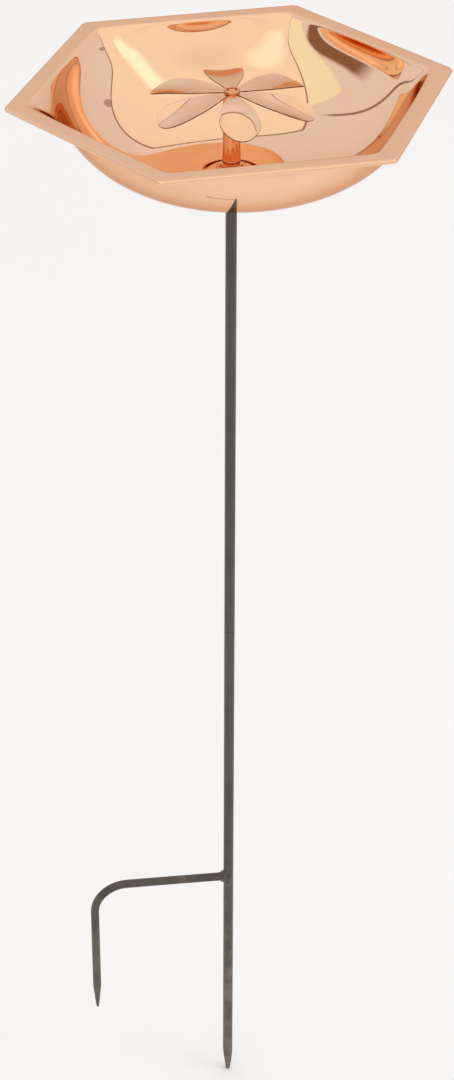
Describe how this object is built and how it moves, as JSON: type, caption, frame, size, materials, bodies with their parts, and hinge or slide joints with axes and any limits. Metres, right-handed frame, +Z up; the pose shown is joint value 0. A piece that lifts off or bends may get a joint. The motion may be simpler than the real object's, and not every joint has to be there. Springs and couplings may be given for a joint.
{
  "type": "bird bath",
  "caption": "Polished copper bird bath: hexagonal-rimmed dish with a petalled flower finial on a two-piece rod stake with a side prong.",
  "frame": {"origin": "on the stake's axis at ground level, the underside of the side prong's arm", "axes": "+Z up along the pole; the side prong points along -X"},
  "size_m": [0.3664, 0.3348, 1.067],
  "materials": {
    "polished_copper_dish": null,
    "polished_copper_petals": null,
    "polished_copper_stem": null,
    "brass_insert": "plain turned brass",
    "black_rod": "satin black-brown powder coat over steel rod",
    "zinc_steel": "zinc-plated steel studs and washer",
    "seal_rubber": "black rubber washer"
  },
  "bodies": {
    "stake": {"lower_rod": "black_rod", "prong": "black_rod", "weld_bead": "black_rod"},
    "pole": {"upper_rod": "black_rod", "support_collar": "black_rod", "support_washer": "zinc_steel", "joint_stud": "zinc_steel", "bowl_stud": "zinc_steel"},
    "dish": {"bowl": "polished_copper_dish", "bowl_seal": "seal_rubber"},
    "flower": {"finial_seal": "seal_rubber", "stem_base": "polished_copper_stem", "stem_tube": "polished_copper_stem", "stem_insert": "brass_insert", "stem_cap": "polished_copper_stem", "flower_hub": "polished_copper_stem", "hub_screw": "polished_copper_stem", "petal_1": "polished_copper_petals", "petal_2": "polished_copper_petals", "petal_3": "polished_copper_petals", "petal_4": "polished_copper_petals", "petal_5": "polished_copper_petals", "petal_6": "polished_copper_petals"}
  },
  "joints": [
    {"name": "pole_lift", "type": "slide", "parent": "stake", "child": "pole", "axis": [0, 0, 1], "range_m": [0, 0.03]},
    {"name": "dish_lift", "type": "slide", "parent": "pole", "child": "dish", "axis": [0, 0, 1], "range_m": [0, 0.05]},
    {"name": "finial_lift", "type": "slide", "parent": "dish", "child": "flower", "axis": [0, 0, 1], "range_m": [0, 0.04]}
  ]
}
